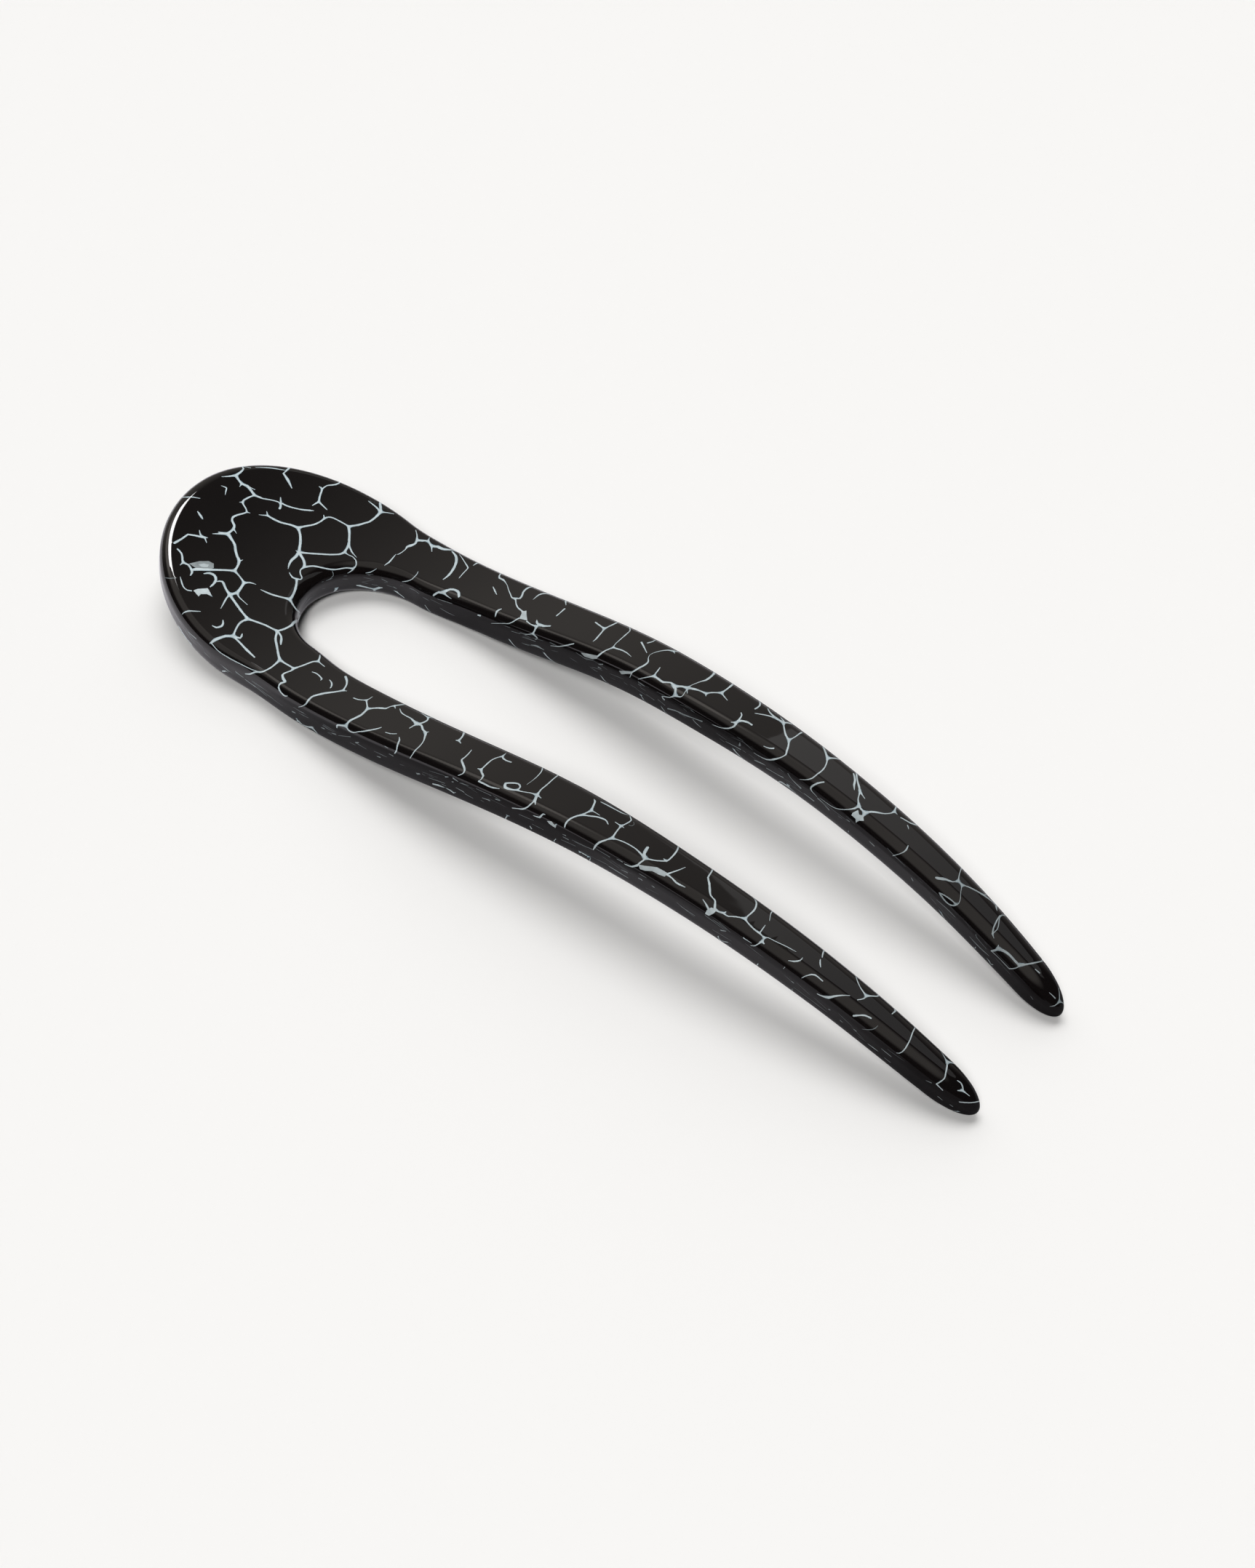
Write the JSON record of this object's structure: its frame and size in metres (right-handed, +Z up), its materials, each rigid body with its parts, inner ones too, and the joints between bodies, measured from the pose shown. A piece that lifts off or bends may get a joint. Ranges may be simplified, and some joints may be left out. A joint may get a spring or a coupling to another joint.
{
  "type": "french hair pin",
  "caption": "French hair pin of crackled black acetate: a long U with a broad round head, tapering prongs and a bend along its length, that holds a bun or twist.",
  "frame": {"origin": "on the surface that the pin lies on, under the middle of its box", "axes": "+X along the pin from its head to its tips, +Y across the two prongs, +Z up from the surface, on the side to which the bend rises"},
  "size_m": [0.1194, 0.0296, 0.0105],
  "materials": {
    "acetate": "polished black cellulose acetate with a net of fine bluish-white crackle lines"
  },
  "bodies": {
    "root": {"pin": "acetate"}
  },
  "joints": []
}
